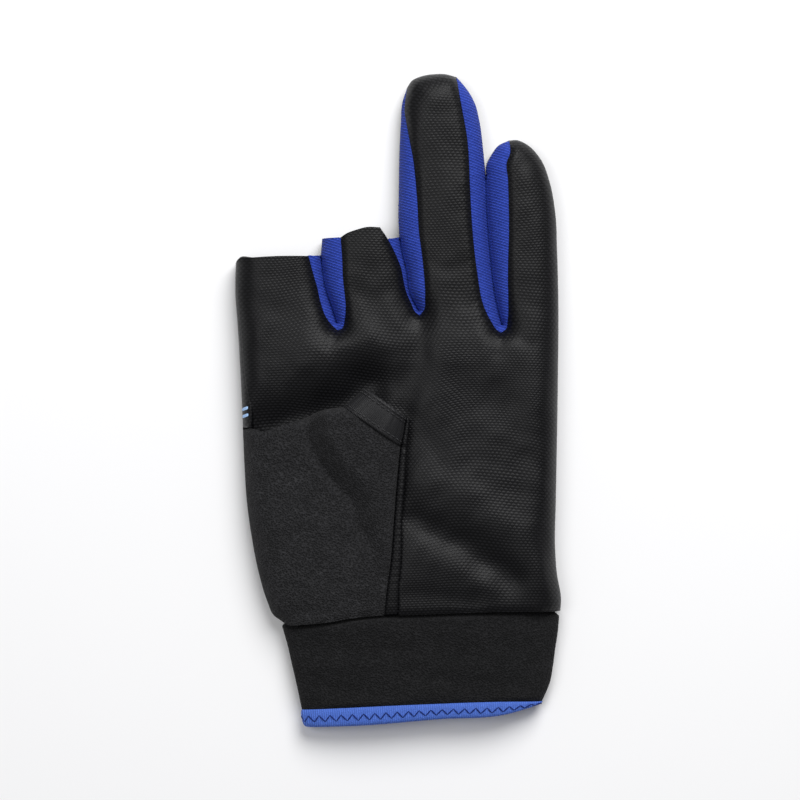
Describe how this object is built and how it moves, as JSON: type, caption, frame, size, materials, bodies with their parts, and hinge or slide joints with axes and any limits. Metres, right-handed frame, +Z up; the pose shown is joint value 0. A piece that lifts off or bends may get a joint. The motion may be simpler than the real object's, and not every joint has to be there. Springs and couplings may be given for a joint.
{
  "type": "fishing glove",
  "caption": "Left fishing glove lying palm up, with the thumb, index and middle fingers cut short and open, and a bound neoprene cuff.",
  "frame": {"origin": "middle of the glove's plan outline, on the surface it lies on", "axes": "+X from the thumb side to the little finger, +Y from the cuff to the fingertips, +Z up out of the palm"},
  "size_m": [0.1048, 0.2092, 0.0223],
  "materials": {
    "leather": "embossed synthetic leather, satin",
    "neoprene": "matt knit-faced neoprene",
    "blue_knit": "matt ribbed knit",
    "hem_tape": "smooth stretch tape",
    "blue_binding": "knit binding tape with a zigzag stitch"
  },
  "bodies": {
    "root": {"palm_panel": "leather", "back_panel": "leather", "fourchette_index_middle": "blue_knit", "fourchette_middle_ring": "blue_knit", "fourchette_ring_little": "blue_knit", "thumb_back": "neoprene", "thumb_palm": "leather", "thumb_hem": "hem_tape", "cuff": "neoprene", "cuff_binding": "blue_binding"}
  },
  "joints": []
}
